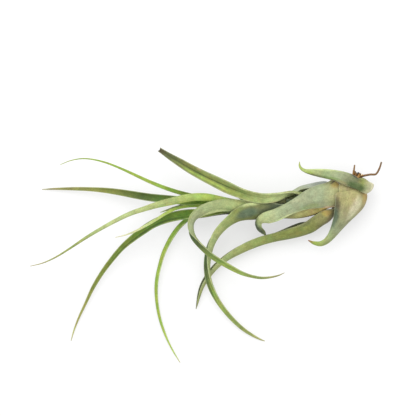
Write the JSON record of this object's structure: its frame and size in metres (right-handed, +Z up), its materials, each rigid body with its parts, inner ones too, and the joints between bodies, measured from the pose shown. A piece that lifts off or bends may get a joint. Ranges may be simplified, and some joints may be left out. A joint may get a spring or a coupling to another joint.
{
  "type": "air plant",
  "caption": "Air plant lying on its side: a short curved woody stem with wiry roots, and long arching channelled leaves that taper to points.",
  "frame": {"origin": "centre of the plant's outline seen from above, on the surface that it lies on", "axes": "+X to the root end, -X to the leaf tips, +Y to the side that the upper long leaf points to, +Z up from the surface"},
  "size_m": [0.1583, 0.0968, 0.0331],
  "materials": {
    "stem_and_roots": "dry fibrous bark and roots",
    "leaf_01": "matt leaf skin with fine pale scales",
    "leaf_02": "matt leaf skin with fine pale scales",
    "leaf_03": "matt leaf skin with fine pale scales",
    "leaf_04": "matt leaf skin with fine pale scales",
    "leaf_05": "matt leaf skin with fine pale scales",
    "leaf_06": "matt leaf skin with fine pale scales",
    "leaf_07": "matt leaf skin with fine pale scales",
    "leaf_08": "matt leaf skin with fine pale scales",
    "leaf_09": "matt leaf skin with fine pale scales",
    "leaf_10": "matt leaf skin with fine pale scales",
    "leaf_11": "matt leaf skin with fine pale scales",
    "leaf_12": "matt leaf skin with fine pale scales",
    "leaf_13": "matt leaf skin with fine pale scales",
    "leaf_14": "matt leaf skin with fine pale scales",
    "leaf_15": "matt leaf skin with fine pale scales",
    "leaf_16": "matt leaf skin with fine pale scales"
  },
  "bodies": {
    "root": {"stem_and_roots": "stem_and_roots", "leaf_01": "leaf_01", "leaf_02": "leaf_02", "leaf_03": "leaf_03", "leaf_04": "leaf_04", "leaf_05": "leaf_05", "leaf_06": "leaf_06", "leaf_07": "leaf_07", "leaf_08": "leaf_08", "leaf_09": "leaf_09", "leaf_10": "leaf_10", "leaf_11": "leaf_11", "leaf_12": "leaf_12", "leaf_13": "leaf_13", "leaf_14": "leaf_14", "leaf_15": "leaf_15", "leaf_16": "leaf_16"}
  },
  "joints": []
}
